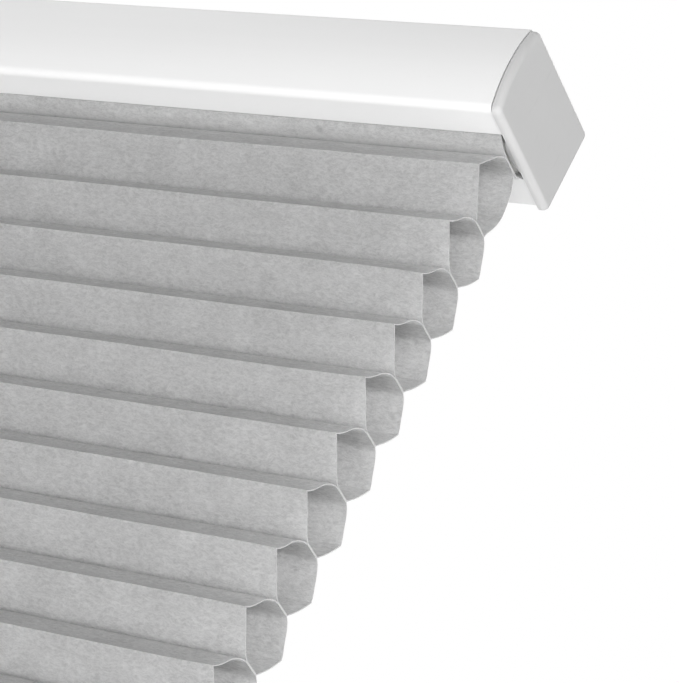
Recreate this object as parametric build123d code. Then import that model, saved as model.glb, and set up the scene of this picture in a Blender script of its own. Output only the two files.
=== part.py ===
"""Cordless honeycomb (cellular) pleated blind, fully lowered.

X runs along the headrail, Y from the room side (-) to the window side (+), Z is up.
The origin is the middle of the four bracket screw holes, on the plane that the
brackets are screwed to. All lengths are millimetres.
"""
from build123d import *
from math import asin, cos, sin, sqrt
import os

os.makedirs("parts", exist_ok=True)

# ---------------------------------------------------------------- driving dimensions
# Overall
rail_length = 600.0          # headrail extrusion
cell_count = 28              # whole cells below the headrail
cell_pitch = 20.0            # height of one cell

# Headrail section
rail_depth = 47.2
rail_height = 32.8
rail_wall = 1.3
rail_front_bow_high = 2.2    # how far the front face bows out past its top edge
rail_front_bow_low = 2.9     # and past its bottom edge
rail_front_bow_place = 0.42  # foremost line, as a share of the height from the top
rail_front_low_radius = 2.8
rail_edge_radius = 1.2
bottom_slot_width = 20.2
bottom_slot_offset = 0.6     # middle of the slot, behind the middle of the rail
top_slot_width = 24.0
top_channel_height = 3.2
web_thickness = 1.2
rib_thickness = 1.0
rib_reach = 4.0
rib_height_over_lip = 2.7    # clear height for the fabric's header strip

# Headrail end caps
cap_thickness = 2.9
cap_gap = 0.6                # shadow gap between rail end and cap plate
cap_back_overhang = 2.0
cap_bottom_overhang = 0.8
cap_top_inset = 0.3
cap_corner_radius = 2.4
cap_face_radius = 2.0
plug_length = 14.0
plug_wall = 1.8
plug_clearance = 0.15
tongue_width = 14.4          # curved tongue that closes the slot's end
tongue_bulge = 1.4
tongue_drop = 0.2
tongue_groove = 0.7          # depth of the groove between tongue and plate

# Mounting brackets
bracket_spacing = 420.0      # between the hole pairs of the two brackets
bracket_plate = 1.5
bracket_width = 32.0
bracket_hole_spacing = 16.0
bracket_hole_diameter = 4.4
bracket_inner_margin = 10.0  # plate beyond the screw holes, towards the middle of the blind
bracket_outer_margin = 32.0  # plate beyond the screw holes, towards the blind's end
bracket_corner = 3.0
bracket_foot_start = 3.0     # from the plate's inner end to its two feet
bracket_foot_length = 15.0
bracket_foot_width = 2.0
cam_pivot_offset = 22.0      # from the screw holes to the cam's pivot
lever_thickness = 1.5
lever_clearance = 0.3
lever_reach = 30.0
lever_width = 9.0
lever_tab_rise = 1.2         # finger tab above the arm's end
cam_length = 32.0
cam_width = 11.0
cam_thickness = 1.6
cam_hub_radius = 5.2
cam_lip_gap = 0.2
rivet_radius = 2.5
rivet_head_radius = 4.0
rivet_head_height = 0.9
rivet_recess = 0.2           # rivet below the top of the bracket plate

# Honeycomb fabric
sheet = 0.35                 # thickness of the non-woven sheet
nose_y = -12.2               # front creases
glue_front_y = 0.1           # glued band between one cell and the next
glue_back_y = 6.9
back_y = 14.1                # back creases
first_glue_drop = 2.4        # first glued band below the headrail
first_cell_height = 24.4     # the top cell is pulled taller than the rest
fabric_end_gap = 0.5         # fabric shorter than the rail at each end
cord_hole_diameter = 4.0

# Strips that hold the fabric in the two rails
strip_width = 27.6
strip_thickness = 1.2
strip_end_gap = 2.0          # strip shorter than the fabric at each end
seat_gap = 0.1               # between fabric and rail lips
fold_gap = 0.05              # between fabric and strip
slot_edge_gap = 0.3

# Lift mechanism
spool_radius = 8.0
spool_flange_step = 1.5      # flange beyond the spool's radius
spool_flange = 1.5
spool_length = 24.0
hub_radius = 4.0
hub_length = 3.0
running_gap = 0.05
shaft_width = 4.0
shaft_end = 6.0              # shaft beyond the spool hubs
shaft_play = 0.05
cord_diameter = 1.1
cord_spacing = 380.0
turns_gap = 0.1              # between spool and cord
turns_width = 3.3            # band of cord left on a spool when the blind is down
cradle_floor = 1.3
cradle_wall = 1.6
cradle_side_gap = 0.3
cradle_front_gap = 2.3       # between the rail's front wall, at its foremost, and a cradle
cradle_cord_hole = 3.6
saddle_mouth = 7.0           # snap-in opening above a hub
saddle_rise = 2.0            # wall above a hub's seat

# Spring motor
drum_core_radius = 5.5
drum_flange_radius = 9.3
drum_flange = 1.2
drum_length = 17.4
tape_width = 14.4
tape_gap = 0.1
tape_full = 2.8              # coil on the output drum when the blind is down
tape_left = 0.6              # coil left on the storage drum
tape_strip = 0.3
store_core_radius = 5.0
store_flange_radius = 8.5
drum_gap = 0.4
pin_radius = 1.5
motor_floor = 1.3
motor_wall = 1.6
motor_side_gap = 0.3
motor_cover = 1.2
boss_radius = 2.4
boss_drop = 3.6
screw_radius = 0.9
screw_head_radius = 1.7
screw_head_height = 1.1
screw_length = 6.0           # thread in the boss
screw_hole_depth = 7.0

# Bottom rail
foot_depth = 32.0
foot_height = 22.0
foot_wall = 1.3
foot_low_radius = 4.0
foot_top_radius = 1.5
foot_cap = 2.5
foot_cap_overhang = 0.3
foot_cap_radius = 1.0
foot_plug_length = 10.0
weight_width = 20.0
weight_thickness = 4.0
weight_end_gap = 16.0
button_radius = 4.0
button_height = 2.4
knot_radius = 1.5

# Pull handle under the bottom rail
handle_length = 70.0
handle_base = 16.0
handle_thickness = 2.0
handle_drop = 12.0
handle_lean = 6.0
handle_inner_radius = 2.0
handle_edge_radius = 0.9
peg_spacing = 46.0
peg_radius = 1.5

# ---------------------------------------------------------------- places worked out
rail_end = rail_length / 2
rail_top = -(bracket_plate + lever_thickness + 2 * lever_clearance)
rail_bottom = rail_top - rail_height
rail_front = -rail_depth / 2
rail_back = rail_depth / 2
lip_top = rail_bottom + rail_wall
channel_top = rail_top - rail_wall
channel_floor = channel_top - top_channel_height
cavity_top = channel_floor - web_thickness
rib_top = lip_top + rib_height_over_lip + rib_thickness
slot_front = bottom_slot_offset - bottom_slot_width / 2
slot_back = bottom_slot_offset + bottom_slot_width / 2

cord_y = (glue_front_y + glue_back_y) / 2
cord_x = cord_spacing / 2
wrap_radius = spool_radius + turns_gap + cord_diameter / 2
shaft_y = cord_y + wrap_radius
spool_flange_radius = spool_radius + spool_flange_step
seat_front = rail_front + rail_wall + cradle_front_gap
seat_back = rail_back - rail_wall - cradle_side_gap
shaft_z = (rib_top + cavity_top) / 2

glue_levels = [rail_bottom - first_glue_drop]
glue_levels += [
    glue_levels[0] - first_cell_height - cell_pitch * count for count in range(cell_count)
]
foot_top = glue_levels[-1] - first_glue_drop
foot_bottom = foot_top - foot_height
foot_floor = foot_bottom + foot_wall
foot_lip = foot_top - foot_wall
foot_front = bottom_slot_offset - foot_depth / 2
foot_back = bottom_slot_offset + foot_depth / 2
fabric_end = rail_end - fabric_end_gap


# ---------------------------------------------------------------- helpers
def along_x(face, start, end):
    """The solid that a face drawn in (Y, Z) sweeps from X = start to X = end."""
    return Pos(start, 0, 0) * extrude(Plane.YZ * face, end - start)


def outline(*points):
    """A face with straight sides through (Y, Z) points."""
    return make_face(Polyline(*points, close=True))


def block(x, y, z):
    """A box from three (low, high) pairs."""
    size = [high - low for low, high in (x, y, z)]
    middle = [(high + low) / 2 for low, high in (x, y, z)]
    return Pos(*middle) * Box(*size)


def rectangle(y, z):
    """A face in (Y, Z) from two (low, high) pairs."""
    return Pos((y[0] + y[1]) / 2, (z[0] + z[1]) / 2) * Rectangle(y[1] - y[0], z[1] - z[0])


def rod_x(radius, start, end, y, z):
    """A round bar along X."""
    return Pos((start + end) / 2, y, z) * Rot(0, 90, 0) * Cylinder(radius, end - start)


def rod_z(radius, x, y, low, high):
    """A round bar along Z."""
    return Pos(x, y, (low + high) / 2) * Cylinder(radius, high - low)


def corner_near(face, y, z):
    """The corner of a (Y, Z) face that is nearest to a point."""
    return face.vertices().sort_by_distance((y, z, 0))[0]


def round_corners(face, corners):
    """Rounds corners given as (y, z, radius)."""
    for y, z, radius in corners:
        face = fillet(corner_near(face, y, z), radius)
    return face


def mirrored(solid):
    """The same piece for the other end of the blind."""
    return mirror(solid, about=Plane.YZ)


def save(solid, name):
    solid.label = name
    export_step(solid, f"parts/{name}.step")


# ---------------------------------------------------------------- headrail
def rail_outline(back=0.0, bottom=0.0, top=0.0, corner=None):
    """The headrail's outer section, grown at the back and bottom and cut down at the top."""
    low, high = rail_bottom - bottom, rail_top - top
    rear = rail_back + back
    low_edge = rail_front + rail_front_bow_low
    high_edge = rail_front + rail_front_bow_high
    foremost = rail_top - rail_front_bow_place * rail_height
    front = ThreePointArc((low_edge, low), (rail_front, foremost), (high_edge, high))
    rest = Polyline((high_edge, high), (rear, high), (rear, low), (low_edge, low))
    face = make_face([front, rest])
    return round_corners(
        face,
        [
            (low_edge, low, rail_front_low_radius),
            (high_edge, high, corner or rail_edge_radius),
            (rear, low, corner or rail_edge_radius),
            (rear, high, corner or rail_edge_radius),
        ],
    )


def rail_inside():
    """The headrail's inner outline."""
    return offset(rail_outline(), -rail_wall, kind=Kind.INTERSECTION)


def headrail():
    outer = rail_outline()
    inner = rail_inside()
    web = rectangle((rail_front, rail_back), (cavity_top, channel_floor))
    rib_z = (rib_top - rib_thickness, rib_top)
    ribs = rectangle((rail_front, rail_front + rail_wall + rib_reach), rib_z)
    ribs += rectangle((rail_back - rail_wall - rib_reach, rail_back), rib_z)
    section = outer - inner + ((web + ribs) & inner)
    section -= rectangle((slot_front, slot_back), (rail_bottom - 1, lip_top + rib_height_over_lip / 2))
    half = top_slot_width / 2
    section -= rectangle((-half, half), (channel_top - top_channel_height / 2, rail_top + 1))
    return along_x(section, -rail_end, rail_end)


def end_cap():
    """Right-hand end cap: face plate, hollow plug in the rail and tongue in the slot."""
    inner_face = rail_end + cap_gap
    outer_face = inner_face + cap_thickness
    plate = along_x(
        rail_outline(cap_back_overhang, cap_bottom_overhang, cap_top_inset, cap_corner_radius),
        inner_face,
        outer_face,
    )
    plate = fillet(plate.faces().sort_by(Axis.X)[-1].edges(), cap_face_radius)
    room = rectangle(
        (rail_front, rail_back), (rib_top + plug_clearance, cavity_top - plug_clearance)
    )
    plug_face = offset(rail_inside(), -plug_clearance, kind=Kind.INTERSECTION) & room
    plug = along_x(plug_face, rail_end - plug_length, inner_face)
    hollow = offset(plug_face, -plug_wall, kind=Kind.INTERSECTION)
    plug -= along_x(hollow, rail_end - plug_length - 1, rail_end - plug_wall)
    return plate + plug + cap_tongue(inner_face)


def cap_tongue(plate_face):
    """Curved tongue in the end of the slot, with a groove between it and the cap's plate."""
    middle, half = bottom_slot_offset, tongue_width / 2
    low, high = rail_bottom - tongue_drop, lip_top - seat_gap
    curve = ThreePointArc(
        (rail_end, middle + half), (rail_end - tongue_bulge, middle), (rail_end, middle - half)
    )
    crescent = make_face([curve, Line((rail_end, middle - half), (rail_end, middle + half))])
    tongue = Pos(0, 0, low) * extrude(crescent, high - low)
    neck_half = half - tongue_groove
    neck = block(
        (rail_end - tongue_bulge / 2, plate_face),
        (middle - neck_half, middle + neck_half),
        (low + tongue_groove, high),
    )
    return tongue + neck


# ---------------------------------------------------------------- mounting brackets
def bracket():
    """Right-hand steel bracket, screwed up through its two holes."""
    x_hole = bracket_spacing / 2
    x_in = x_hole - bracket_inner_margin
    half = bracket_width / 2
    plate = block((x_in, x_hole + bracket_outer_margin), (-half, half), (-bracket_plate, 0))
    plate = fillet(plate.edges().filter_by(Axis.Z), bracket_corner)
    for side in (-1, 1):
        near, far = half - bracket_foot_width, half
        y = (near, far) if side > 0 else (-far, -near)
        x_foot = x_in + bracket_foot_start
        plate += block((x_foot, x_foot + bracket_foot_length), y, (rail_top, -bracket_plate))
        y_hole = side * bracket_hole_spacing / 2
        plate -= rod_z(bracket_hole_diameter / 2, x_hole, y_hole, -bracket_plate - 1, 1)
    plate -= rod_z(rivet_radius, x_hole + cam_pivot_offset, 0, -bracket_plate - 1, 1)
    return plate


cam_x = bracket_spacing / 2 + cam_pivot_offset
lever_top = -bracket_plate - lever_clearance
lever_low = lever_top - lever_thickness
cam_top = channel_top - cam_lip_gap
cam_low = cam_top - cam_thickness


def cam_lever():
    """Right-hand locking lever: arm over the rail, hub through its slot, cam under its lips."""
    arm = block(
        (cam_x - lever_width / 2, cam_x + lever_width / 2), (0, lever_reach), (lever_low, lever_top)
    )
    arm = fillet(arm.edges().filter_by(Axis.Z), lever_width / 4)
    hub = rod_z(cam_hub_radius, cam_x, 0, cam_low, lever_top)
    foot = block(
        (cam_x - cam_width / 2, cam_x + cam_width / 2),
        (-cam_length / 2, cam_length / 2),
        (cam_low, cam_top),
    )
    foot = fillet(foot.edges().filter_by(Axis.Z), cam_width / 4)
    tab = block(
        (cam_x - lever_width / 2, cam_x + lever_width / 2),
        (lever_reach - lever_thickness, lever_reach),
        (lever_low, lever_top + lever_tab_rise),
    )
    bore = rod_z(rivet_radius + running_gap, cam_x, 0, cam_low - 1, lever_top + 1)
    return arm + hub + foot + tab - bore


def rivet():
    """Right-hand pivot rivet, just below the plate's top and headed below the cam."""
    head_top = cam_low - running_gap
    shank = rod_z(rivet_radius, cam_x, 0, head_top, -rivet_recess)
    return shank + rod_z(rivet_head_radius, cam_x, 0, head_top - rivet_head_height, head_top)


# ---------------------------------------------------------------- fabric and its strips
def cell_front(glue_above, glue_below):
    """Front of a cell from its upper glue line, in over the crease, to just above the lower one."""
    depth = glue_front_y - nose_y
    crease = (glue_above + glue_below) / 2
    rise = glue_above - crease
    shares = [(1, 1), (0.72, 0.87), (0.47, 0.65), (0.3, 0.36), (0, 0)]
    return [(nose_y + across * depth, crease + up * rise) for across, up in shares]


def cell_back(glue_above, glue_below):
    """Back of a cell, rounder than its front, from its upper glue line to above the lower one."""
    depth = back_y - glue_back_y
    crease = (glue_above + glue_below) / 2
    rise = glue_above - crease
    shares = [(0, 1), (0.42, 0.78), (0.76, 0.4), (1, 0), (0.9, -0.35), (0.5, -0.78)]
    return [(glue_back_y + across * depth, crease + up * rise) for across, up in shares]


def rail_loop(side, lip_face, lip_inside):
    """Where the fabric goes in through a rail's slot and round its strip, on one side."""
    up = 1 if lip_inside > lip_face else -1
    edge = bottom_slot_offset + side * (bottom_slot_width / 2 - slot_edge_gap)
    far = bottom_slot_offset + side * (strip_width / 2 + fold_gap + sheet)
    low = lip_inside + up * seat_gap
    high = low + up * (2 * sheet + 2 * fold_gap + strip_thickness)
    return [(far, high), (far, low), (edge, low), (edge, lip_face)]


header_front = rail_loop(-1, rail_bottom, lip_top)
header_back = rail_loop(1, rail_bottom, lip_top)
footer_front = rail_loop(-1, foot_top, foot_lip)
footer_back = rail_loop(1, foot_top, foot_lip)
glue_first = [(glue_front_y, glue_levels[0]), (glue_back_y, glue_levels[0])]
glue_last = [(glue_front_y, glue_levels[-1]), (glue_back_y, glue_levels[-1])]


def cord_holes(radius, low, high):
    return rod_z(radius, cord_x, cord_y, low, high) + rod_z(radius, -cord_x, cord_y, low, high)


def fabric():
    """One column of honeycomb cells, folded round a strip inside each rail."""
    levels = list(zip(glue_levels[:-1], glue_levels[1:]))
    front = [point for pair in levels for point in cell_front(*pair)] + [glue_last[0]]
    back = [point for pair in levels for point in cell_back(*pair)] + [glue_last[1]]
    front = header_front + front + footer_front[::-1]
    back = header_back + back + footer_back[::-1]
    section = outline(*front, *back[::-1])
    hollows = [header_front + glue_first + header_back[::-1]]
    hollows += [footer_front + glue_last + footer_back[::-1]]
    for pair in levels:
        below = [(glue_front_y, pair[1]), (glue_back_y, pair[1])]
        hollows.append(cell_front(*pair) + below + cell_back(*pair)[::-1])
    for hollow in hollows:
        section -= offset(outline(*hollow), -sheet, kind=Kind.INTERSECTION)
    cloth = along_x(section, -fabric_end, fabric_end)
    return cloth - cord_holes(cord_hole_diameter / 2, foot_floor, cavity_top)


def strip(lip_inside, up):
    """Flat strip that holds the fabric behind a rail's lips."""
    near = lip_inside + up * (seat_gap + sheet + fold_gap)
    far = near + up * strip_thickness
    half = strip_width / 2
    end = fabric_end - strip_end_gap
    plate = block(
        (-end, end),
        (bottom_slot_offset - half, bottom_slot_offset + half),
        (min(near, far), max(near, far)),
    )
    return plate - cord_holes(cord_hole_diameter / 2, min(near, far) - 1, max(near, far) + 1)


# ---------------------------------------------------------------- lift mechanism
def square_bar(width, start, end):
    """A square bar along the lift shaft's axis."""
    half = width / 2
    return block((start, end), (shaft_y - half, shaft_y + half), (shaft_z - half, shaft_z + half))


spool_start = cord_x - spool_length / 2
spool_end = cord_x + spool_length / 2
shaft_reach = spool_end + hub_length + shaft_end
square_bore = shaft_width + 2 * shaft_play


def lift_shaft():
    return square_bar(shaft_width, -shaft_reach, shaft_reach)


def spool():
    """Right-hand cord spool on the square shaft."""
    body = rod_x(spool_radius, spool_start, spool_end, shaft_y, shaft_z)
    for start in (spool_start, spool_end - spool_flange):
        body += rod_x(spool_flange_radius, start, start + spool_flange, shaft_y, shaft_z)
    body += rod_x(hub_radius, spool_start - hub_length, spool_end + hub_length, shaft_y, shaft_z)
    return body - square_bar(square_bore, spool_start - hub_length - 1, spool_end + hub_length + 1)


def saddle(start, end, top):
    """Room for a hub in a wall: a round seat with a narrower snap-in mouth above it."""
    seat = rod_x(hub_radius + running_gap, start - 1, end + 1, shaft_y, shaft_z)
    mouth = block(
        (start - 1, end + 1),
        (shaft_y - saddle_mouth / 2, shaft_y + saddle_mouth / 2),
        (shaft_z, top + 1),
    )
    return seat + mouth


def cradle():
    """Right-hand cradle that carries a spool on the headrail's ribs."""
    front, back = seat_front, seat_back
    inner = spool_length / 2 + cradle_side_gap
    outer = inner + cradle_wall
    wall_top = shaft_z + hub_radius + saddle_rise
    body = block((cord_x - outer, cord_x + outer), (front, back), (rib_top, rib_top + cradle_floor))
    for start in (cord_x - outer, cord_x + inner):
        end = start + cradle_wall
        wall = block((start, end), (shaft_y - spool_flange_radius, back), (rib_top, wall_top))
        body += wall - saddle(start, end, wall_top)
    hole = rod_z(cradle_cord_hole / 2, cord_x, cord_y, rib_top - 1, rib_top + cradle_floor + 1)
    return body - hole


button_top = foot_lip - seat_gap - 2 * sheet - 2 * fold_gap - strip_thickness
knot_seat = cord_diameter / 2 + running_gap
knot_z = button_top - button_height - sqrt(knot_radius**2 - knot_seat**2)


def lift_cord():
    """Right-hand lift cord: turns left on the spool, a straight drop and its end knot."""
    start, end = cord_x - turns_width / 2, cord_x + turns_width / 2
    inside, outside = wrap_radius - cord_diameter / 2, wrap_radius + cord_diameter / 2
    turns = rod_x(outside, start, end, shaft_y, shaft_z)
    turns -= rod_x(inside, start - 1, end + 1, shaft_y, shaft_z)
    drop = rod_z(cord_diameter / 2, cord_x, cord_y, knot_z, shaft_z)
    return turns + drop + Pos(cord_x, cord_y, knot_z) * Sphere(knot_radius)


def cord_button():
    """Right-hand button that the cord's knot pulls up against the strip."""
    low = button_top - button_height
    disc = rod_z(button_radius, cord_x, cord_y, low, button_top)
    return disc - rod_z(knot_seat, cord_x, cord_y, low - 1, button_top + 1)


# ---------------------------------------------------------------- spring motor
store_y = shaft_y - drum_flange_radius - store_flange_radius - drum_gap
drum_half = drum_length / 2
wall_inner = drum_half + motor_side_gap
wall_outer = wall_inner + motor_wall
motor_front, motor_back = seat_front, seat_back
cover_top = cavity_top - motor_side_gap
cover_low = cover_top - motor_cover
boss_x = wall_outer + boss_radius - motor_side_gap
boss_top = cover_low - boss_drop
boss_ys = (motor_front + boss_radius, motor_back - boss_radius)
boss_places = [(side * boss_x, y) for side in (-1, 1) for y in boss_ys]


def flanged_drum(core, flange, y):
    drum = rod_x(core, -drum_half, drum_half, y, shaft_z)
    for start in (-drum_half, drum_half - drum_flange):
        drum += rod_x(flange, start, start + drum_flange, y, shaft_z)
    return drum


def output_drum():
    """Drum on the lift shaft that the spring winds onto as the blind comes down."""
    drum = flanged_drum(drum_core_radius, drum_flange_radius, shaft_y)
    reach = wall_outer + motor_side_gap
    drum += rod_x(hub_radius, -reach, reach, shaft_y, shaft_z)
    return drum - square_bar(square_bore, -reach - 1, reach + 1)


def storage_drum():
    """Drum that holds the relaxed spring, turning on its own pin."""
    drum = flanged_drum(store_core_radius, store_flange_radius, store_y)
    return drum - rod_x(pin_radius + running_gap, -drum_half - 1, drum_half + 1, store_y, shaft_z)


def storage_pin():
    return rod_x(pin_radius, -wall_outer, wall_outer, store_y, shaft_z)


def spring_tape():
    """Steel tape: the coil on each drum and the straight run over the top between them."""
    half = tape_width / 2
    wound = drum_core_radius + tape_gap
    stored = store_core_radius + tape_gap
    big, small = wound + tape_full, stored + tape_left
    tape = rod_x(big, -half, half, shaft_y, shaft_z)
    tape -= rod_x(wound, -half - 1, half + 1, shaft_y, shaft_z)
    tape += rod_x(small, -half, half, store_y, shaft_z)
    tape -= rod_x(stored, -half - 1, half + 1, store_y, shaft_z)
    lean = asin((big - small) / (shaft_y - store_y))
    ends = []
    for y, radius in ((shaft_y, big), (store_y, small)):
        for reach in (radius, radius - tape_strip):
            ends.append((y + reach * sin(lean), shaft_z + reach * cos(lean)))
    run = outline(ends[0], ends[2], ends[3], ends[1])
    return tape + along_x(run, -half, half)


def motor_base():
    """Floor, two side walls and four screw bosses of the spring motor's case."""
    base = block(
        (-wall_outer, wall_outer), (motor_front, motor_back), (rib_top, rib_top + motor_floor)
    )
    for start in (-wall_outer, wall_inner):
        end = start + motor_wall
        wall = block((start, end), (motor_front, motor_back), (rib_top, cover_low))
        wall -= saddle(start, end, cover_low)
        base += wall - rod_x(pin_radius, start - 1, end + 1, store_y, shaft_z)
    for x, y in boss_places:
        base += rod_z(boss_radius, x, y, rib_top, boss_top)
        base -= rod_z(screw_radius, x, y, boss_top - screw_hole_depth, boss_top + 1)
    return base


def motor_cover_plate():
    """Cover over the drums, with skirts outside the walls and an ear on each boss."""
    skirt_in = wall_outer + running_gap
    skirt_out = skirt_in + motor_cover
    cover = block((-skirt_out, skirt_out), (motor_front, motor_back), (cover_low, cover_top))
    ear_top = boss_top + motor_cover
    for side in (-1, 1):
        x = sorted((side * skirt_in, side * skirt_out))
        cover += block(x, (motor_front, motor_back), (ear_top - motor_cover, cover_low))
        ear_x = sorted((side * skirt_in, side * (boss_x + boss_radius)))
        for y in boss_ys:
            cover += block(ear_x, (y - boss_radius, y + boss_radius), (boss_top, ear_top))
    for x, y in boss_places:
        cover -= rod_z(screw_radius, x, y, boss_top - 1, ear_top + 0.01)
        cover -= rod_z(screw_head_radius, x, y, ear_top, cover_low - 0.01)
    return cover


def motor_screws():
    """Four self-tapping screws that hold the cover."""
    ear_top = boss_top + motor_cover
    screws = []
    for x, y in boss_places:
        shank = rod_z(screw_radius, x, y, boss_top - screw_length, ear_top)
        head = rod_z(screw_head_radius, x, y, ear_top, ear_top + screw_head_height)
        screws.append(shank + head)
    return Compound(children=screws)


# ---------------------------------------------------------------- bottom rail
def foot_outline(grow=0.0):
    """The bottom rail's outer section."""
    front, back = foot_front - grow, foot_back + grow
    low, high = foot_bottom - grow, foot_top + grow
    face = outline((front, low), (back, low), (back, high), (front, high))
    return round_corners(
        face,
        [
            (front, low, foot_low_radius),
            (back, low, foot_low_radius),
            (front, high, foot_top_radius),
            (back, high, foot_top_radius),
        ],
    )


handle_back = bottom_slot_offset + handle_base / 2
handle_front = bottom_slot_offset - handle_base / 2


def handle_pegs(radius, low, high):
    """Two pegs, or the holes for them, in the bottom rail's floor."""
    pegs = [
        rod_z(radius, side * peg_spacing / 2, bottom_slot_offset, low, high)
        for side in (-1, 1)
    ]
    return pegs[0] + pegs[1]


def bottom_rail():
    section = foot_outline() - offset(foot_outline(), -foot_wall, kind=Kind.INTERSECTION)
    section -= rectangle((slot_front, slot_back), (foot_lip - foot_wall, foot_top + 1))
    rail = along_x(section, -rail_end, rail_end)
    return rail - handle_pegs(peg_radius + running_gap, foot_bottom - 1, foot_floor + 1)


def bottom_cap():
    """Right-hand end cap of the bottom rail."""
    plate = along_x(foot_outline(foot_cap_overhang), rail_end, rail_end + foot_cap)
    plate = fillet(plate.faces().sort_by(Axis.X)[-1].edges(), foot_cap_radius)
    inside = offset(foot_outline(), -foot_wall - plug_clearance, kind=Kind.INTERSECTION)
    room = rectangle((foot_front, foot_back), (foot_bottom, button_top - seat_gap))
    plug_face = inside & room
    plug = along_x(plug_face, rail_end - foot_plug_length, rail_end)
    hollow = offset(plug_face, -plug_wall, kind=Kind.INTERSECTION)
    return plate + plug - along_x(hollow, rail_end - foot_plug_length - 1, rail_end - plug_wall)


def weight_bar():
    """Flat steel bar that keeps the bottom rail straight and heavy."""
    half = weight_width / 2
    end = rail_end - weight_end_gap
    return block(
        (-end, end),
        (bottom_slot_offset - half, bottom_slot_offset + half),
        (foot_floor, foot_floor + weight_thickness),
    )


def pull_handle():
    """Moulded handle: a base pegged under the bottom rail and a lip that leans forward."""
    top, thick = foot_bottom, handle_thickness
    low = top - thick - handle_drop
    lip_y = handle_front - handle_lean
    face = outline(
        (handle_back, top),
        (handle_back, top - thick),
        (handle_front + thick, top - thick),
        (lip_y + thick, low),
        (lip_y, low),
        (handle_front, top),
    )
    face = round_corners(
        face,
        [
            (handle_front + thick, top - thick, handle_inner_radius),
            (lip_y + thick, low, handle_edge_radius),
            (lip_y, low, handle_edge_radius),
            (handle_back, top - thick, handle_edge_radius),
        ],
    )
    handle = along_x(face, -handle_length / 2, handle_length / 2)
    return handle + handle_pegs(peg_radius, foot_bottom, foot_floor - seat_gap)


# ---------------------------------------------------------------- write the pieces
pairs = {
    "end_cap": end_cap(),
    "bracket": bracket(),
    "cam_lever": cam_lever(),
    "rivet": rivet(),
    "spool": spool(),
    "cradle": cradle(),
    "lift_cord": lift_cord(),
    "cord_button": cord_button(),
    "bottom_cap": bottom_cap(),
}
for name, piece in pairs.items():
    save(piece, f"{name}_right")
    save(mirrored(piece), f"{name}_left")

singles = {
    "headrail": headrail(),
    "header_strip": strip(lip_top, 1),
    "fabric": fabric(),
    "footer_strip": strip(foot_lip, -1),
    "bottom_rail": bottom_rail(),
    "weight_bar": weight_bar(),
    "pull_handle": pull_handle(),
    "lift_shaft": lift_shaft(),
    "motor_base": motor_base(),
    "motor_cover": motor_cover_plate(),
    "motor_screws": motor_screws(),
    "output_drum": output_drum(),
    "storage_drum": storage_drum(),
    "storage_pin": storage_pin(),
    "spring_tape": spring_tape(),
}
for name, piece in singles.items():
    save(piece, name)
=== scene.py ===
"""Cordless cellular blind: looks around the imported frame. Metres, same frame as the CAD."""
import math
import random

import bpy
import numpy as np
from mathutils import Matrix, Vector


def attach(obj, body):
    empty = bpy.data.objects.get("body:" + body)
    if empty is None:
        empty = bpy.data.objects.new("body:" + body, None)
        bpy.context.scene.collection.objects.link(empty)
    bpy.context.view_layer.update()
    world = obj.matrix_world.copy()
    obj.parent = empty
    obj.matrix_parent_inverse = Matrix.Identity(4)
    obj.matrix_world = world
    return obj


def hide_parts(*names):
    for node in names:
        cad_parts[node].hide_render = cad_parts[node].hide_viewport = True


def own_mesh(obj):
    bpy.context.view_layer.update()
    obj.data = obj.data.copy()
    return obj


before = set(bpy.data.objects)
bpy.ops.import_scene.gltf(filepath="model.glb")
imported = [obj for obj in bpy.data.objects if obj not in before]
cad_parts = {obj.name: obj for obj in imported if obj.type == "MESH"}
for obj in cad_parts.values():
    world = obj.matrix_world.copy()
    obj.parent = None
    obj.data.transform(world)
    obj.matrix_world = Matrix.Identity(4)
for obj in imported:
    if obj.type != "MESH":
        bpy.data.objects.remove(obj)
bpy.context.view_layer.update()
MM = 0.001

# ---------------------------------------------------------------- facts shared with the CAD, in mm
FABRIC_END = 299.5
CELLS = 28
PITCH = 20.0
RAIL_BOTTOM = -36.4
LIP_TOP = -35.1
FIRST_GLUE = -38.8
SECOND_GLUE = -63.2
GLUE_FRONT, GLUE_BACK = 0.1, 6.9
FIRST_GLUE_FRONT, FIRST_GLUE_BACK = -1.6, 3.6
SLOT_FRONT, SLOT_BACK = -9.2, 10.4
STRIP_FRONT, STRIP_BACK = -13.4, 14.6
STRIP_GAP = 0.03  # between a strip's long edges and the middle of the cloth
STRIP_ROOM = 1.3  # a strip's thickness, with its clearance
LIP_GAP = 0.1
FOOT_TOP = -605.6
FOOT_LIP = -606.9
CORD_X, CORD_Y = 190.0, 3.5
SHAFT_Y, SHAFT_Z = 12.15, -20.35
WRAP_RADIUS = 8.65
CORD_RADIUS = 0.55
SHEET = 0.34  # the cloth's thickness
HALF_BOND = 0.54 * SHEET  # from a glue line to the middle of each sheet that it joins

GLUES = [FIRST_GLUE] + [SECOND_GLUE - PITCH * count for count in range(CELLS)]


# ---------------------------------------------------------------- camera
EYE = (755.73, -610.36, -541.7)
VIEW_RIGHT = (0.8334574, 0.3646997, 0.4151420)
VIEW_DOWN = (0.1093909, 0.6275124, -0.7708838)
VIEW_FORWARD = (-0.5416478, 0.6879116, 0.4831100)
FOCAL_PIXELS, FRAME_LONG_SIDE = 3000.0, 683.0
SENSOR = 36.0


def make_camera():
    data = bpy.data.cameras.new("view")
    data.sensor_fit = "AUTO"
    data.sensor_width = SENSOR
    data.lens = FOCAL_PIXELS / FRAME_LONG_SIDE * data.sensor_width
    data.clip_start, data.clip_end = 0.01, 100.0
    camera = bpy.data.objects.new("view", data)
    bpy.context.collection.objects.link(camera)
    axes = Matrix([Vector(VIEW_RIGHT), -Vector(VIEW_DOWN), -Vector(VIEW_FORWARD)])
    camera.matrix_world = Matrix.Translation(Vector(EYE) * MM) @ axes.transposed().to_4x4()
    bpy.context.scene.camera = camera


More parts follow.
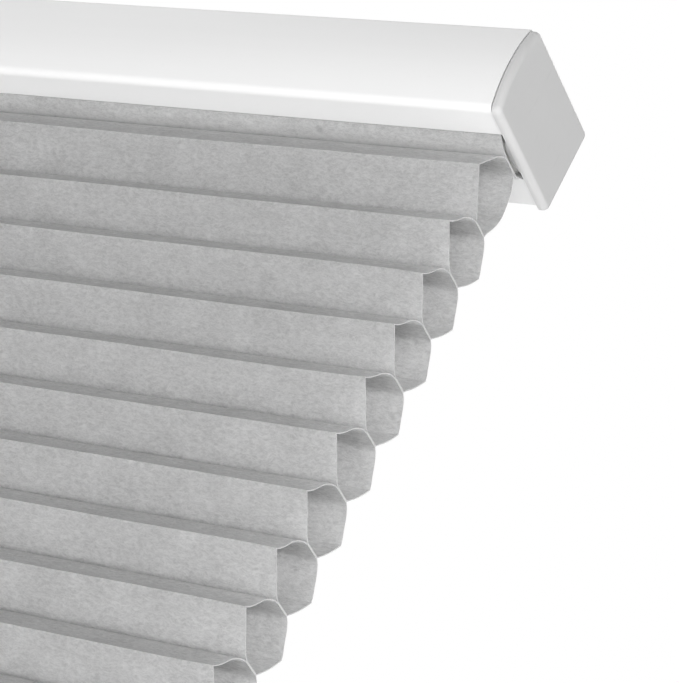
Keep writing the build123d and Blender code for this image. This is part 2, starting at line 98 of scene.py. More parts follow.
# ---------------------------------------------------------------- light and floor
AMBIENT = 0.335
FLOOR_GREY = 0.86
FLOOR_Z, FLOOR_HALF = -1.3, 6.0
FLOOR_GLOW = 0.40  # share of glow in the floor for light
FLOOR_SEEN_GLOW = 0.80  # share of glow in the floor for the camera
FLOOR_LIGHT = 1.5  # strength of that glow for light
LIGHT_TARGET = (0.15, 0.0, -0.2)
LAMP_SIZE = 0.9
# azimuth and elevation from the target in degrees, distance in metres, watts
LAMPS = [
    (-90, -45, 1.48, 7.5),
    (-90, -70, 1.10, 5.6),
    (-50, -15, 1.70, 10.0),
    (-20, -15, 1.70, 7.4),
    (30, 0, 1.70, 5.0),
    (90, -15, 1.70, 4.6),
    (110, 15, 1.70, 3.0),
    (150, 10, 1.70, 3.4),
    (90, 65, 1.70, 6.5),
    (200, 50, 1.70, 5.0),
]


def area_light(name, place, power):
    """A square softbox at a place, turned to the light target."""
    data = bpy.data.lights.new(name, "AREA")
    data.shape = "RECTANGLE"
    data.size, data.size_y = LAMP_SIZE, LAMP_SIZE
    data.energy = power
    lamp = bpy.data.objects.new(name, data)
    bpy.context.collection.objects.link(lamp)
    lamp.location = place
    lamp.rotation_euler = (Vector(LIGHT_TARGET) - place).to_track_quat("-Z", "Y").to_euler()
    lamp.visible_camera = False


def make_world():
    """Even light from all round, and white paper for the camera."""
    world = bpy.data.worlds.new("studio")
    bpy.context.scene.world = world
    world.use_nodes = True
    tree = world.node_tree
    tree.nodes.clear()
    out = tree.nodes.new("ShaderNodeOutputWorld")
    mix = tree.nodes.new("ShaderNodeMixShader")
    path = tree.nodes.new("ShaderNodeLightPath")
    tree.links.new(path.outputs["Is Camera Ray"], mix.inputs[0])
    for place, strength in ((1, AMBIENT), (2, 1.0)):
        light = tree.nodes.new("ShaderNodeBackground")
        light.inputs["Color"].default_value = (1, 1, 1, 1)
        light.inputs["Strength"].default_value = strength
        tree.links.new(light.outputs[0], mix.inputs[place])
    tree.links.new(mix.outputs[0], out.inputs[0])


def make_stage():
    for number, (azimuth, elevation, distance, watts) in enumerate(LAMPS):
        turn, lift = math.radians(azimuth), math.radians(elevation)
        level = math.cos(lift)
        way = Vector((level * math.cos(turn), level * math.sin(turn), math.sin(lift)))
        area_light(f"softbox_{number}", Vector(LIGHT_TARGET) + way * distance, watts)
    mesh = bpy.data.meshes.new("floor")
    signs = ((-1, -1), (1, -1), (1, 1), (-1, 1))
    corners = [(x * FLOOR_HALF, y * FLOOR_HALF, FLOOR_Z) for x, y in signs]
    mesh.from_pydata(corners, [], [(0, 1, 2, 3)])
    floor = bpy.data.objects.new("floor", mesh)
    bpy.context.collection.objects.link(floor)
    floor.data.materials.append(pale_floor())


# ---------------------------------------------------------------- material helpers
class Nodes:
    """Short names for building one material's node tree."""

    def __init__(self, name):
        self.material = bpy.data.materials.new(name)
        self.material.use_nodes = True
        self.tree = self.material.node_tree
        self.tree.nodes.clear()
        self.out = self.tree.nodes.new("ShaderNodeOutputMaterial")

    def add(self, kind, inputs=None, **settings):
        node = self.tree.nodes.new(kind)
        for key, value in settings.items():
            setattr(node, key, value)
        for key, value in (inputs or {}).items():
            self.set(node.inputs[key], value)
        return node

    def set(self, socket, value):
        if isinstance(value, bpy.types.NodeSocket):
            self.tree.links.new(value, socket)
        else:
            socket.default_value = value

    def math(self, operation, *values):
        node = self.tree.nodes.new("ShaderNodeMath")
        node.operation = operation
        for socket, value in zip(node.inputs, values):
            self.set(socket, value)
        return node.outputs[0]

    def object_place(self):
        return self.add("ShaderNodeTexCoord").outputs["Object"]

    def mapped(self, vector, scale=(1, 1, 1), turn=(0, 0, 0)):
        node = self.add("ShaderNodeMapping", {"Scale": scale, "Rotation": turn})
        self.set(node.inputs["Vector"], vector)
        return node.outputs[0]

    def noise(self, vector, scale, detail=2.0, rough=0.5, distortion=0.0):
        node = self.add(
            "ShaderNodeTexNoise",
            {"Scale": scale, "Detail": detail, "Roughness": rough, "Distortion": distortion},
        )
        self.set(node.inputs["Vector"], vector)
        return node.outputs["Fac"]

    def span(self, value, low, high, to_low, to_high):
        """A value from low to high, moved to the range to_low to to_high and held inside it."""
        node = self.add(
            "ShaderNodeMapRange",
            {"From Min": low, "From Max": high, "To Min": to_low, "To Max": to_high},
            clamp=True,
        )
        self.set(node.inputs["Value"], value)
        return node.outputs["Result"]

    def grey_times(self, colour, factor):
        """A colour scaled by a number that varies over the surface."""
        node = self.add("ShaderNodeVectorMath", operation="SCALE")
        node.inputs[0].default_value = colour[:3]
        self.set(node.inputs["Scale"], factor)
        return node.outputs[0]

    def bump(self, height, distance, strength=1.0):
        node = self.add("ShaderNodeBump", {"Distance": distance, "Strength": strength})
        self.set(node.inputs["Height"], height)
        return node.outputs[0]

    def finish(self, shader):
        self.tree.links.new(shader, self.out.inputs["Surface"])
        return self.material


def pale_floor():
    """Matt pale paper with a glow of its own, so that it stays pale where the lamps don't reach."""
    kit = Nodes("floor_paper")
    cloud = kit.noise(kit.object_place(), 3.0, 3.0)
    tint = kit.grey_times((FLOOR_GREY,) * 3, kit.span(cloud, 0.3, 0.7, 0.985, 1.0))
    paper = kit.add("ShaderNodeBsdfDiffuse", {"Color": tint})
    seen = kit.add("ShaderNodeLightPath").outputs["Is Camera Ray"]
    strength = kit.math("MULTIPLY_ADD", seen, 1.0 - FLOOR_LIGHT, FLOOR_LIGHT)
    colour = (FLOOR_GREY, FLOOR_GREY, FLOOR_GREY, 1)
    glow = kit.add("ShaderNodeEmission", {"Color": colour, "Strength": strength})
    share = kit.math("MULTIPLY_ADD", seen, FLOOR_SEEN_GLOW - FLOOR_GLOW, FLOOR_GLOW)
    mix = kit.add("ShaderNodeMixShader", {"Fac": share})
    kit.set(mix.inputs[1], paper.outputs[0])
    kit.set(mix.inputs[2], glow.outputs[0])
    return kit.finish(mix.outputs[0])


def powder_coat(name, colour):
    """Powder coat on an extrusion: orange peel, faint lines along X, small dust marks."""
    kit = Nodes(name)
    place = kit.object_place()
    peel = kit.noise(place, 900.0, 2.0)
    lines = kit.noise(kit.mapped(place, (1.5, 420, 420)), 1.0, 3.0)
    cloud = kit.noise(place, 14.0, 3.0)
    specks = kit.noise(place, 2600.0, 0.0)
    speck = kit.span(specks, 0.80, 0.84, 0.0, 0.06)
    drawn = kit.span(lines, 0.3, 0.7, 0.992, 1.0)
    shade = kit.math("ADD", drawn, kit.span(cloud, 0.3, 0.7, -0.010, 0.0))
    tint = kit.grey_times(colour, kit.math("SUBTRACT", shade, speck))
    rough = kit.span(kit.math("ADD", cloud, lines), 0.7, 1.3, 0.36, 0.44)
    height = kit.math("ADD", kit.math("MULTIPLY", peel, 0.5), kit.math("MULTIPLY", lines, 0.05))
    shader = kit.add(
        "ShaderNodeBsdfPrincipled",
        {
            "Base Color": tint,
            "Roughness": rough,
            "IOR": 1.5,
            "Normal": kit.bump(height, 0.00002, 0.6),
        },
    )
    return kit.finish(shader.outputs[0])


def moulded(name, colour, roughness, grain=1500.0, depth=0.00003, wear=0.04, ior=1.49):
    """Moulded plastic with a fine sprayed texture and slightly rubbed, uneven gloss."""
    kit = Nodes(name)
    place = kit.object_place()
    cloud = kit.noise(place, 35.0, 4.0, 0.6)
    fine = kit.noise(place, grain, 2.0)
    scuff = kit.noise(kit.mapped(place, (60, 400, 90), (0.5, 0.2, 0.9)), 1.0, 3.0)
    marks = kit.span(scuff, 0.66, 0.74, 0.0, wear)
    shade = kit.math("SUBTRACT", kit.span(cloud, 0.3, 0.7, 0.97, 1.0), marks)
    rough = kit.math("ADD", kit.span(fine, 0.3, 0.7, roughness - 0.04, roughness + 0.05), marks)
    shader = kit.add(
        "ShaderNodeBsdfPrincipled",
        {
            "Base Color": kit.grey_times(colour, shade),
            "Roughness": rough,
            "IOR": ior,
            "Normal": kit.bump(fine, depth, 0.5),
        },
    )
    return kit.finish(shader.outputs[0])


def metal(name, colour, roughness, grain=(8, 900, 900), spangle=0.0, blue=0.0):
    """Rolled, drawn or zinc-plated steel: brushed grain, spangle, small dull stains."""
    kit = Nodes(name)
    place = kit.object_place()
    brush = kit.noise(kit.mapped(place, grain), 1.0, 3.0)
    stain = kit.noise(place, 120.0, 4.0, 0.6)
    cell = kit.add("ShaderNodeTexVoronoi", {"Scale": 220.0, "Vector": place})
    facet = kit.math("MULTIPLY", cell.outputs["Distance"], spangle)
    shade = kit.math("ADD", kit.span(brush, 0.3, 0.7, 0.88, 1.0), facet)
    shade = kit.math("SUBTRACT", shade, kit.span(stain, 0.55, 0.75, 0.0, 0.12 + blue))
    rough = kit.span(kit.math("ADD", brush, stain), 0.7, 1.3, roughness - 0.06, roughness + 0.1)
    shader = kit.add(
        "ShaderNodeBsdfPrincipled",
        {
            "Base Color": kit.grey_times(colour, shade),
            "Metallic": 1.0,
            "Roughness": rough,
            "Normal": kit.bump(brush, 0.00002, 0.5),
        },
    )
    return kit.finish(shader.outputs[0])


CLOTH_OUTER = (0.56, 0.56, 0.56)
CLOTH_INNER = (0.62, 0.62, 0.62)
CLOTH_GLOW = (0.80, 0.80, 0.80)
CLOTH_THROUGH = 0.60
PAINTED_LIGHT_GAIN = 0.60  # painted light: how much paler the cloth is painted where the band attribute is 1
PALEST = 0.93
FIBRES = (  # turn in radians, frequency along and across the fibre per metre, strength
    (0.15, 260, 1100, 1.0),
    (-0.35, 300, 1250, 0.9),
    (0.8, 380, 1300, 0.6),
    (-1.2, 380, 1200, 0.5),
)
SMUDGE = (0.2332, -0.0063, -0.0380)  # the small dirty mark under the rail
SMUDGE_CORE, SMUDGE_EDGE, SMUDGE_WANDER = 0.0004, 0.0020, 0.0012
SMUDGE_SHADE = 0.80


def cloth(name, colour):
    """Spunbond non-woven: short fibres bonded at random, cloudy density, light comes through; the
    band attribute paints light and shade on it.
    """
    kit = Nodes(name)
    flat = kit.add("ShaderNodeUVMap", uv_map="cut").outputs[0]
    drift = kit.add("ShaderNodeTexNoise", {"Scale": 240.0, "Detail": 2.0, "Vector": flat})
    bend = kit.add("ShaderNodeVectorMath", operation="SUBTRACT")
    kit.set(bend.inputs[0], drift.outputs["Color"])
    bend.inputs[1].default_value = (0.5, 0.5, 0.5)
    wander = kit.add("ShaderNodeVectorMath", {"Scale": 0.0035}, operation="SCALE")
    kit.set(wander.inputs[0], bend.outputs[0])
    curled = kit.add("ShaderNodeVectorMath", operation="ADD")
    kit.set(curled.inputs[0], flat)
    kit.set(curled.inputs[1], wander.outputs[0])
    curled = curled.outputs[0]
    strands = None
    for turn, long_way, across, share in FIBRES:
        turned = kit.mapped(kit.mapped(curled, turn=(0, 0, turn)), (long_way, across, 1))
        layer = kit.noise(turned, 1.0, 1.0, 0.5)
        ridge = kit.math("ABSOLUTE", kit.math("SUBTRACT", layer, 0.5))
        line = kit.span(ridge, 0.0, 0.10, share, 0.0)
        strands = line if strands is None else kit.math("ADD", strands, line)
    cloud = kit.noise(flat, 70.0, 4.0, 0.62)
    mottle = kit.noise(kit.mapped(flat, (420, 900, 1)), 1.0, 3.0, 0.6, 0.5)
    fibred = kit.span(strands, 0.2, 1.8, 0.92, 1.06)
    shade = kit.math("ADD", fibred, kit.span(cloud, 0.3, 0.7, -0.05, 0.05))
    shade = kit.math("ADD", shade, kit.span(mottle, 0.35, 0.65, -0.062, 0.062))
    away = kit.add("ShaderNodeVectorMath", operation="DISTANCE")
    kit.set(away.inputs[0], kit.object_place())
    away.inputs[1].default_value = SMUDGE
    centred = kit.math("SUBTRACT", away.outputs["Value"], SMUDGE_WANDER / 2)
    mark = kit.math("MULTIPLY_ADD", cloud, SMUDGE_WANDER, centred)
    stain = kit.span(mark, SMUDGE_CORE, SMUDGE_EDGE, SMUDGE_SHADE, 1.0)
    # painted light and shade: the band attribute makes the cloth paler in the shaded recesses and
    # darker near the creases
    painted_light = kit.add("ShaderNodeAttribute", attribute_name="band").outputs["Fac"]
    paler = kit.math("MULTIPLY", shade, kit.math("MULTIPLY_ADD", painted_light, PAINTED_LIGHT_GAIN, 1.0))
    capped = kit.math("MINIMUM", paler, PALEST / colour[0])
    tint = kit.grey_times(colour, kit.math("MULTIPLY", capped, stain))
    thin = kit.grey_times(CLOTH_GLOW, kit.math("MULTIPLY", shade, stain))
    height = kit.math("ADD", kit.math("MULTIPLY", strands, 0.5), mottle)
    normal = kit.bump(height, 0.00010, 0.3)
    face = kit.add(
        "ShaderNodeBsdfPrincipled",
        {"Base Color": tint, "Roughness": 0.88, "Normal": normal, "IOR": 1.4},
    )
    face.inputs["Sheen Weight"].default_value = 0.12
    face.inputs["Sheen Roughness"].default_value = 0.5
    glow = kit.add("ShaderNodeBsdfTranslucent", {"Color": thin, "Normal": normal})
    mix = kit.add("ShaderNodeMixShader", {"Fac": CLOTH_THROUGH})
    kit.set(mix.inputs[1], face.outputs[0])
    kit.set(mix.inputs[2], glow.outputs[0])
    return kit.finish(mix.outputs[0])


def cut_cloth(name):
    """The cut edge of the cloth: fibre ends."""
    kit = Nodes(name)
    fibres = kit.noise(kit.object_place(), 2800.0, 2.0)
    tint = kit.grey_times((0.58, 0.58, 0.58), kit.span(fibres, 0.3, 0.7, 0.85, 1.0))
    shader = kit.add(
        "ShaderNodeBsdfPrincipled",
        {"Base Color": tint, "Roughness": 0.9, "Normal": kit.bump(fibres, 0.00008, 0.6)},
    )
    return kit.finish(shader.outputs[0])


def braid(name, colour):
    """Braided polyester cord: strands crossing at a slant."""
    kit = Nodes(name)
    place = kit.object_place()
    weave = kit.add(
        "ShaderNodeTexWave",
        {"Scale": 420.0, "Distortion": 1.0, "Vector": place},
        bands_direction="DIAGONAL",
    )
    fine = kit.noise(place, 3000.0, 2.0)
    crossed = kit.span(weave.outputs["Fac"], 0.0, 1.0, 0.84, 1.0)
    shade = kit.math("ADD", crossed, kit.span(fine, 0.3, 0.7, -0.05, 0.05))
    shader = kit.add(
        "ShaderNodeBsdfPrincipled",
        {
            "Base Color": kit.grey_times(colour, shade),
            "Roughness": 0.75,
            "Normal": kit.bump(weave.outputs["Fac"], 0.0001, 0.8),
        },
    )
    shader.inputs["Sheen Weight"].default_value = 0.2
    return kit.finish(shader.outputs[0])


# ---------------------------------------------------------------- fabric shape
def smooth_path(points, count):
    """count + 1 points, evenly spaced, on a smooth curve through the given points."""
    pts = np.array(points, float)
    ends = np.vstack([2 * pts[0] - pts[1], pts, 2 * pts[-1] - pts[-2]])
    fine = []
    for a, b, c, d in zip(ends[:-3], ends[1:-2], ends[2:-1], ends[3:]):
        square = 2 * a - 5 * b + 4 * c - d
        cube = 3 * b - a - 3 * c + d
        for t in np.linspace(0, 1, 12, endpoint=False):
            fine.append(0.5 * (2 * b + (c - a) * t + square * t**2 + cube * t**3))
    fine.append(pts[-1])
    fine = np.array(fine)
    along = np.concatenate([[0], np.cumsum(np.linalg.norm(np.diff(fine, axis=0), axis=1))])
    where = np.linspace(0, along[-1], count + 1)
    return np.column_stack([np.interp(where, along, fine[:, k]) for k in range(2)])


# Sections as (depth behind the front crease, height above it). The front crease is at Y = NOSE_Y.
NOSE_Y = -12.2
FRONT_UPPER = [(11.2, 9.75), (9.0, 8.75), (6.4, 6.85), (5.0, 5.2), (3.6, 3.4), (2.0, 1.6), (0, 0)]
FRONT_LOWER = [(0, 0), (2.6, -2.2), (5.2, -4.4), (8.1, -7.1), (10.6, -9.1), (12.3, -9.9)]
BACK_UPPER = [(20.4, 9.0), (21.9, 7.4), (23.5, 4.8), (24.6, 2.9), (25.7, 1.2), (26.3, -0.2)]
BACK_LOWER = [(26.3, -0.2), (25.2, -2.1), (23.4, -4.8), (21.4, -7.3), (19.4, -9.4)]
# The same for the first, taller cell.
TOP_FRONT_UPPER = [
    (10.4, 12.4), (8.6, 10.8), (6.4, 8.7), (5.4, 7.3), (3.6, 4.9), (1.9, 2.6), (0, 0)
]
TOP_FRONT_LOWER = [(0, 0), (3.0, -3.0), (6.2, -6.3), (9.6, -9.6), (12.3, -12.0)]
TOP_BACK_UPPER = [(17.3, 12.0), (18.6, 10.8), (20.3, 8.0), (21.4, 4.6), (22.2, 1.5), (22.6, -1.7)]
TOP_BACK_LOWER = [(22.6, -1.7), (22.3, -4.0), (21.2, -7.2), (20.0, -9.6), (19.1, -11.2)]


def cell_section(number):
    """One cell's closed loop (Y, Z), and the places of its two creases in the loop."""
    top, bottom = GLUES[number], GLUES[number + 1]
    crease = (top + bottom) / 2
    first = number == 0
    upper_front = TOP_FRONT_UPPER if first else FRONT_UPPER
    lower_front = TOP_FRONT_LOWER if first else FRONT_LOWER
    upper_back = TOP_BACK_UPPER if first else BACK_UPPER
    lower_back = TOP_BACK_LOWER if first else BACK_LOWER
    glue_front = FIRST_GLUE_FRONT if first else GLUE_FRONT
    glue_back = FIRST_GLUE_BACK if first else GLUE_BACK
    high, low = top - HALF_BOND, bottom + HALF_BOND

    def placed(points):
        return [(NOSE_Y + y, crease + z) for y, z in points]

    over = smooth_path([(glue_front, high), (glue_back, high)], 2)
    back_down = smooth_path([(glue_back, high)] + placed(upper_back), 7)
    back_in = smooth_path(placed(lower_back) + [(GLUE_BACK, low)], 6)
    under = smooth_path([(GLUE_BACK, low), (GLUE_FRONT, low)], 2)
    front_out = smooth_path([(GLUE_FRONT, low)] + placed(lower_front[:-1])[::-1], 7)
    front_up = smooth_path(placed(upper_front)[::-1] + [(glue_front, high)], 8)
    parts = [over, back_down, back_in, under, front_out, front_up]
    loop = np.vstack([part[:-1] for part in parts])
    starts = np.cumsum([0] + [len(part) - 1 for part in parts])
    return loop, [starts[2], starts[5]]


MITRE_LIMIT = 1.8


def loop_offset(loop, distance):
    """The closed loop moved square to itself by a distance, with its corners mitred."""
    before = loop - np.roll(loop, 1, axis=0)
    after = np.roll(loop, -1, axis=0) - loop
    before /= np.linalg.norm(before, axis=1)[:, None]
    after /= np.linalg.norm(after, axis=1)[:, None]
    normal = np.column_stack([before[:, 1] + after[:, 1], -(before[:, 0] + after[:, 0])])
    length = np.linalg.norm(normal, axis=1)
    normal /= length[:, None]
    stretch = np.minimum(2 / length, MITRE_LIMIT)
    return loop + normal * (distance * stretch)[:, None]


def ripple(rng, waves, shortest, longest):
    """A smooth random function of X, about -1 to 1."""
    parts = [
        (rng.uniform(0.4, 1.0), 2 * math.pi / rng.uniform(shortest, longest), rng.uniform(0, 6.3))
        for _ in range(waves)
    ]
    total = sum(size for size, _, _ in parts)
    return lambda x: sum(size * np.sin(pitch * x + phase) for size, pitch, phase in parts) / total


def stations():
    """The places along X of the fabric's cross-sections, closer together near its two ends."""
    near = [FABRIC_END, 298.4, 296.5, 293.5, 289.0, 283.0, 275.0]
    middle = list(np.linspace(-262.0, 262.0, 33))
    return np.array([-x for x in near] + middle + near[::-1])


OUTER, INNER, CUT = 0, 1, 2  # each face's place in the list of cloth materials
DRIFT = 0.37  # how far the pattern moves across the cloth for each mm that it moves along it


class Builder:
    """Collects quads with cut coordinates and sharp edges, then makes one mesh."""

    def __init__(self):
        self.points, self.faces, self.cut, self.sharp = [], [], [], set()
        self.kinds, self.band = [], []

    def grid(self, rows, cuts, inner, creases, band):
        """One side of the cloth, from loops of points, and the number of its first point.

        rows: stations x loop x 3. cuts: stations x (loop + 1) x 2. inner turns the faces inwards.
        creases: places in the loop that stay sharp. band: one number for each place in the loop,
        its painted light and shade.
        """
        base = len(self.points)
        n, m = len(rows), len(rows[0])
        for row in rows:
            self.points.extend(map(tuple, row))
            self.band.extend(band)
        for i in range(n - 1):
            here, there = base + i * m, base + (i + 1) * m
            for j in range(m):
                k = (j + 1) % m
                quad = [here + j, there + j, there + k, here + k]
                uv = [cuts[i][j], cuts[i + 1][j], cuts[i + 1][j + 1], cuts[i][j + 1]]
                if inner:
                    quad, uv = quad[::-1], uv[::-1]
                self.faces.append(quad)
                self.kinds.append(INNER if inner else OUTER)
                self.cut.extend(uv)
            for j in creases:
                self.sharp.add((here + j, there + j))
        for i in (0, n - 1):
            for j in range(m):
                a, b = base + i * m + j, base + i * m + (j + 1) % m
                self.sharp.add((min(a, b), max(a, b)))
        return base

    def close_ends(self, outer, inner, count, cuts):
        """The cut edges at both ends, between the two sides whose first points are given."""
        m = len(cuts[0]) - 1
        for i, turned in ((0, False), (count - 1, True)):
            for j in range(m):
                k = (j + 1) % m
                a, b = i * m + j, i * m + k
                quad = [outer + a, outer + b, inner + b, inner + a]
                self.faces.append(quad[::-1] if turned else quad)
                self.kinds.append(CUT)
                self.cut.extend([cuts[i][j]] * 4)

    def make(self, name, materials):
        mesh = bpy.data.meshes.new(name)
        mesh.from_pydata([Vector(p) * MM for p in self.points], [], self.faces)
        layer = mesh.uv_layers.new(name="cut")
        layer.data.foreach_set("uv", (np.array(self.cut, float) * MM).ravel())
        mesh.polygons.foreach_set("use_smooth", [True] * len(mesh.polygons))
        flags = [tuple(sorted(edge.vertices)) in self.sharp for edge in mesh.edges]
        mesh.attributes.new("sharp_edge", "BOOLEAN", "EDGE").data.foreach_set("value", flags)
        mesh.update()
        # the band attribute carries the cloth's painted light and shade
        mesh.attributes.new("band", "FLOAT", "POINT").data.foreach_set("value", self.band)
        for material in materials:
            mesh.materials.append(material)
        mesh.polygons.foreach_set("material_index", self.kinds)
        piece = bpy.data.objects.new(name, mesh)
        bpy.context.collection.objects.link(piece)
        return piece


def lengths_round(loop):
    """The length along a closed loop up to each of its points, and all round it."""
    steps = np.linalg.norm(np.roll(loop, -1, axis=0) - loop, axis=1)
    return np.concatenate([[0], np.cumsum(steps)])


def cut_places(xs, along, shift):
    """Flat places on the cloth, with the pattern moved so that no two pieces look alike."""
    return [[(x + shift, s + shift * DRIFT) for s in along] for x in xs]


def sides(loop, x):
    """The cloth's outer and inner side at one station."""
    for distance in (-SHEET / 2, SHEET / 2):
        ring = loop_offset(loop, distance)
        yield np.column_stack([np.full(len(ring), x), ring])


# How far the cells' creases and panels wave, in mm, and how far in from its ends a cell flares
NOSE_IN, NOSE_UP, TAIL_IN, SWELL = 0.28, 0.22, 0.35, 0.28
FLARE_REACH = 9.0
# Painted light and shade on a cell: how fast it is painted paler towards the glued bands, in the
# shaded recesses, and darker towards the crease
PALE_REACH, PALE_FALL = 1.3, 1.5
CREASE_PAINTED_SHADE, CREASE_FROM = 0.25, 0.6
PATTERN_RANGE = 4000  # the cloth's pattern starts anywhere in this many mm


def make_cells(materials):
    """The 28 glued cells as one piece, each cell a folded and glued strip of its own."""
    rng = random.Random(7)
    xs = stations()
    build = Builder()
    for number in range(CELLS):
        loop, creases = cell_section(number)
        high, low = GLUES[number], GLUES[number + 1]
        middle = (high + low) / 2
        # 1 at a crease's height, 0 at the glued bands
        free = 1 - np.abs(loop[:, 1] - middle) / (high - low) * 2
        free = np.clip(free, 0, 1)
        belly = np.sin(math.pi * free)
        is_front = loop[:, 0] < GLUE_FRONT
        nose_in = ripple(rng, 4, 70, 340)
        nose_up = ripple(rng, 4, 90, 420)
        tail_in = ripple(rng, 4, 60, 300)
        swell_up = ripple(rng, 5, 45, 200)
        swell_low = ripple(rng, 5, 45, 200)
        flare = {side: (rng.uniform(-0.5, 0.6), rng.uniform(-0.35, 0.35)) for side in (-1, 1)}
        cuts = cut_places(xs, lengths_round(loop), rng.uniform(0, PATTERN_RANGE))
        rows_out, rows_in = [], []
        for x in xs:
            moved = loop.copy()
            end = math.exp(-(FABRIC_END - abs(x)) / FLARE_REACH)
            out, up = flare[1 if x > 0 else -1]
            depth = NOSE_IN * nose_in(x) + out * end
            moved[:, 0] += np.where(is_front, depth * free, TAIL_IN * tail_in(x) * free)
            moved[:, 1] += (NOSE_UP * nose_up(x) + up * end) * free
            puff = np.where(loop[:, 1] > middle, swell_up(x), swell_low(x)) * SWELL * belly
            moved[:, 0] += np.where(is_front, -puff, puff)
            for rows, side in zip((rows_out, rows_in), sides(moved, x)):
                rows.append(side)
        # painted light: paler towards the glued bands, where the recesses lie in shade; painted
        # shade: darker near the crease
        painted_light = np.clip(1 - free * PALE_REACH, 0, 1) ** PALE_FALL
        painted_light = painted_light - CREASE_PAINTED_SHADE * np.clip(free - CREASE_FROM, 0, 1)
        # painted light on the inner side of the upper front panel, which lies in shade
        inner_painted_light = 1.0 * (is_front & (loop[:, 1] > middle))
        outer = build.grid(rows_out, cuts, False, creases, painted_light)
        inner = build.grid(rows_in, cuts, True, creases, inner_painted_light)
        build.close_ends(outer, inner, len(xs), cuts)
    return build.make("fabric_cells", materials)


def make_loop(name, corners, counts, painted_light_tones, materials, seed):
    """A closed band of cloth along the whole blind: runs of cloth between sharp corners."""
    rng = random.Random(seed)
    parts = [smooth_path(points, count) for points, count in zip(corners, counts)]
    loop = np.vstack([part[:-1] for part in parts])
    starts = np.cumsum([0] + [len(part) - 1 for part in parts])[:-1]
    # painted light along the loop: each run's tone makes the cloth paler or darker
    toned = [np.linspace(*tone, len(part))[:-1] for tone, part in zip(painted_light_tones, parts)]
    painted_light = np.concatenate(toned)
    xs = stations()
    cuts = cut_places(xs, lengths_round(loop), rng.uniform(0, PATTERN_RANGE))
    rows_out, rows_in = zip(*(sides(loop, x) for x in xs))
    build = Builder()
    outer = build.grid(rows_out, cuts, False, starts, painted_light)
    inner = build.grid(rows_in, cuts, True, starts, painted_light)
    build.close_ends(outer, inner, len(xs), cuts)
    return build.make(name, materials)


def rail_band(name, face, inside, up, glue, materials, seed):
    """The cloth from the glue line into a rail's slot, round the strip behind its lips, and back.

    face and inside are the heights of the lips' two sides. up is 1 at the headrail, and -1 at the
    bottom rail.
    """
    low = inside + up * (LIP_GAP + SHEET / 2)
    high = low + up * (SHEET + STRIP_ROOM)
    front, back = SLOT_FRONT + SHEET / 2, SLOT_BACK - SHEET / 2
    far_front, far_back = STRIP_FRONT - STRIP_GAP, STRIP_BACK + STRIP_GAP
    glue = glue + up * HALF_BOND
    near, far = (GLUE_FRONT - 1.3, glue), (GLUE_BACK - 1.5, glue)
    corners = [
        [near, (-3.6, glue + up * 0.25), (-6.8, face - up * 1.3), (front, face)],
        [(front, face), (front, low)],
        [(front, low), (far_front, low)],
        [(far_front, low), (far_front, high)],
        [(far_front, high), (far_back, high)],
        [(far_back, high), (far_back, low)],
        [(far_back, low), (back, low)],
        [(back, low), (back, face)],
        [(back, face), (9.0, face - up * 1.2), (GLUE_BACK + 0.4, glue + up * 0.2), far],
        [far, near],
    ]
    counts = [6, 2, 2, 2, 4, 2, 2, 2, 5, 2]
    # painted light: the cloth is painted paler towards the glue line, where it lies in the recess
    # under the rail
    painted_light_tones = [(1.5, 0.3)] + [(0.3, 0.3)] * 7 + [(0.3, 1.5), (1.5, 1.5)]
    if up < 0:
        corners = [points[::-1] for points in corners[::-1]]
        counts = counts[::-1]
        painted_light_tones = [tone[::-1] for tone in painted_light_tones[::-1]]
    return make_loop(name, corners, counts, painted_light_tones, materials, seed)


# ---------------------------------------------------------------- cords
def tube(name, points, radius, material):
    """A cord on one smooth spline, as a mesh."""
    data = bpy.data.curves.new(name, "CURVE")
    data.dimensions = "3D"
    data.bevel_depth = radius * MM
    data.bevel_resolution = 3
    data.resolution_u = 6
    data.use_fill_caps = True
    spline = data.splines.new("NURBS")
    spline.points.add(len(points) - 1)
    for point, place in zip(spline.points, points):
        point.co = (*(c * MM for c in place), 1)
    spline.order_u = 3
    spline.use_endpoint_u = True
    source = bpy.data.objects.new(name + "_curve", data)
    bpy.context.collection.objects.link(source)
    bpy.context.view_layer.update()
    shaped = source.evaluated_get(bpy.context.evaluated_depsgraph_get())
    mesh = bpy.data.meshes.new_from_object(shaped)
    bpy.data.objects.remove(source)
    mesh.name = name
    mesh.polygons.foreach_set("use_smooth", [True] * len(mesh.polygons))
    mesh.materials.clear()
    mesh.materials.append(material)
    piece = bpy.data.objects.new(name, mesh)
    bpy.context.collection.objects.link(piece)
    return piece


TURNS, TURN_STEPS, TURN_PITCH, HALF_COIL = 3, 12, 1.1, 1.65
KNOT_Z, KNOT_STEPS = -612.77, 24
KNOT_WIDTH, KNOT_HEIGHT, KNOT_CORD = 0.30, 0.55, 0.5


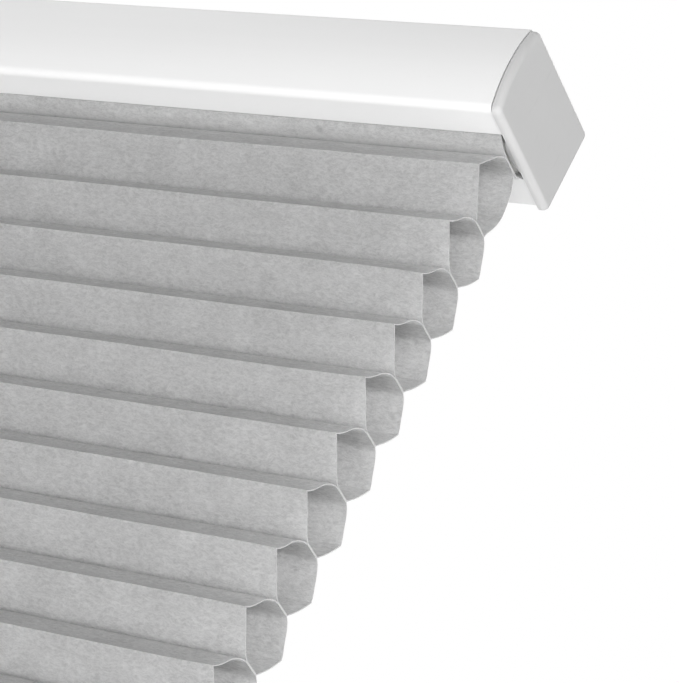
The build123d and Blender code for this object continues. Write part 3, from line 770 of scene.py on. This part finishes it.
def make_lift_cord(side, material):
    """Turns left on the spool, the straight run through the cells, and a knot under its button."""
    word = "right" if side > 0 else "left"
    x = side * CORD_X
    coil = []
    for step in range(TURNS * TURN_STEPS + 1):
        angle = math.pi + step / TURN_STEPS * 2 * math.pi
        coil.append(
            (
                x + side * (TURN_PITCH * step / TURN_STEPS - HALF_COIL),
                SHAFT_Y + WRAP_RADIUS * math.cos(angle),
                SHAFT_Z + WRAP_RADIUS * math.sin(angle),
            )
        )
    wound = tube(f"cord_turns_{word}", coil, CORD_RADIUS, material)
    lift = [(x, CORD_Y, z) for z in (SHAFT_Z, -150.0, -300.0, -450.0, KNOT_Z)]
    run = tube(f"cord_run_{word}", lift, CORD_RADIUS, material)
    trefoil = []
    for step in range(KNOT_STEPS + 1):
        t = step / KNOT_STEPS * 2 * math.pi
        trefoil.append(
            (
                x + KNOT_WIDTH * (math.sin(t) + 2 * math.sin(2 * t)),
                CORD_Y + KNOT_WIDTH * (math.cos(t) - 2 * math.cos(2 * t)),
                KNOT_Z - KNOT_HEIGHT * math.sin(3 * t),
            )
        )
    knot = tube(f"cord_knot_{word}", trefoil, KNOT_CORD, material)
    for piece, body in ((wound, "headrail"), (run, "headrail"), (knot, "bottom_rail")):
        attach(piece, body)
        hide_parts(f"lift_cord_{word}")
    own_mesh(run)


# ---------------------------------------------------------------- everything together
make_camera()
make_world()
make_stage()

cloth_layers = [
    cloth("spunbond_cloth", CLOTH_OUTER),
    cloth("spunbond_cloth_inner", CLOTH_INNER),
    cut_cloth("cloth_cut_edge"),
]
cord_braid = braid("cord_braid", (0.74, 0.74, 0.72))

# The CAD nodes that keep their shapes, by the material that each gets
FINISHES = [
    (powder_coat("rail_powder_coat", (0.75, 0.75, 0.75)), ["headrail"]),
    # painted shade: the bottom rail has the headrail's white coat, painted darker so that it
    # doesn't look over-lit
    (powder_coat("foot_coat_painted_shade", (0.64, 0.64, 0.64)), ["bottom_rail"]),
    (
        moulded("cap_abs", (0.53, 0.53, 0.53), 0.42),
        ["end_cap_right", "end_cap_left", "bottom_cap_right", "bottom_cap_left"],
    ),
    (
        moulded("strip_pvc", (0.80, 0.80, 0.78), 0.4, grain=700.0),
        ["header_strip", "footer_strip"],
    ),
    (
        metal("zinc_plate", (0.62, 0.63, 0.64), 0.34, spangle=0.1),
        ["bracket_right", "bracket_left", "cam_lever_right", "cam_lever_left", "rivet_right"]
        + ["rivet_left", "lift_shaft", "weight_bar", "storage_pin", "motor_screws"],
    ),
    (
        metal("blued_spring", (0.30, 0.33, 0.38), 0.3, grain=(900, 8, 8), blue=0.1),
        ["spring_tape"],
    ),
    (
        moulded("white_acetal", (0.84, 0.84, 0.82), 0.35, grain=900.0, depth=0.00002),
        ["spool_right", "spool_left", "cradle_right", "cradle_left", "output_drum"]
        + ["storage_drum", "cord_button_right", "cord_button_left"],
    ),
    (
        moulded("dark_nylon", (0.045, 0.046, 0.05), 0.5, grain=1800.0),
        ["motor_base", "motor_cover"],
    ),
    (
        moulded(
            "handle_polycarbonate", (0.80, 0.80, 0.79), 0.22, grain=400.0, depth=0.00001, ior=1.58
        ),
        ["pull_handle"],
    ),
]
for material, node_names in FINISHES:
    for node_name in node_names:
        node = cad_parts[node_name]
        if not node.material_slots:
            node.data.materials.append(material)
        for held in node.material_slots:
            held.material = material

cells = make_cells(cloth_layers)
header = rail_band("fabric_header", RAIL_BOTTOM, LIP_TOP, 1, FIRST_GLUE, cloth_layers, 21)
footer = rail_band("fabric_footer", FOOT_TOP, FOOT_LIP, -1, GLUES[-1], cloth_layers, 22)
for piece, body in ((cells, "headrail"), (header, "headrail"), (footer, "bottom_rail")):
    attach(piece, body)
    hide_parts("fabric")
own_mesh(cells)

for hand in (1, -1):
    make_lift_cord(hand, cord_braid)

bpy.context.scene.view_settings.view_transform = "Standard"
